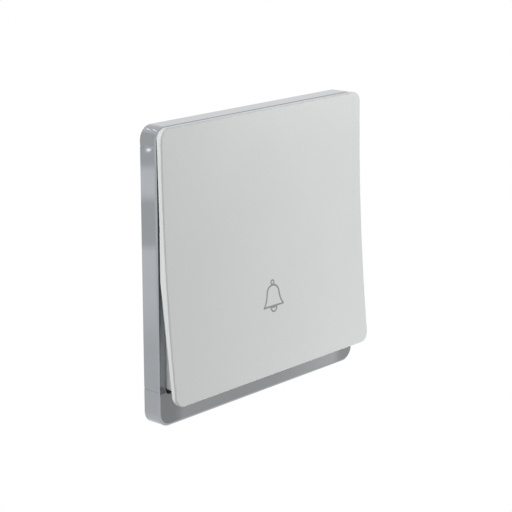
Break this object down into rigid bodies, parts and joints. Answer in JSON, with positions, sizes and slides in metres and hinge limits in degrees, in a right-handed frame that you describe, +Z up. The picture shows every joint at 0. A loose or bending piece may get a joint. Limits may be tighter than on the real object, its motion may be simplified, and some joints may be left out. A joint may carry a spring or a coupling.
{
  "type": "doorbell switch",
  "caption": "Square wall doorbell switch: a slim glossy frame with one broad sail-shaped rocker plate, sprung, that closes a contact in the housing behind.",
  "frame": {"origin": "on the wall's face, midway between the two fixing screws", "axes": "+X to the right seen from the room, +Y into the wall, +Z up"},
  "size_m": [0.086, 0.0308, 0.086],
  "materials": {
    "frame": "polished silver-grey moulding",
    "plate": "satin light-grey moulding",
    "support_steel": "galvanised sheet",
    "housing_plastic": "fine eroded moulding",
    "cover_plastic": "fine eroded moulding",
    "actuator_plastic": "smooth moulding",
    "spring_steel": "drawn wire",
    "bronze": "rolled spring strip",
    "silver": "bright contact alloy",
    "brass": "stamped strip",
    "screw_steel": "zinc-plated"
  },
  "bodies": {
    "housing": {"front_frame": "frame", "support_plate": "support_steel", "mechanism_base": "housing_plastic", "mechanism_cover": "cover_plastic", "return_spring": "spring_steel", "contact_blade": "bronze", "moving_contact": "silver", "fixed_contact": "silver", "blade_strip": "brass", "fixed_strip": "brass", "blade_rivet": "brass", "terminal_cage_left": "brass", "terminal_cage_right": "brass", "terminal_screws": "screw_steel", "cover_screws": "screw_steel"},
    "rocker": {"rocker_plate": "plate", "actuator": "actuator_plastic"}
  },
  "joints": [
    {"name": "rocker_press", "type": "hinge", "parent": "housing", "child": "rocker", "pos_m": [0, -0.0044, 0], "axis": [1, 0, 0], "range_deg": [0, 7], "stiffness_Nm_per_rad": 0.5, "springref_deg": -4.58, "deforming": ["return_spring", "contact_blade", "moving_contact"]}
  ]
}
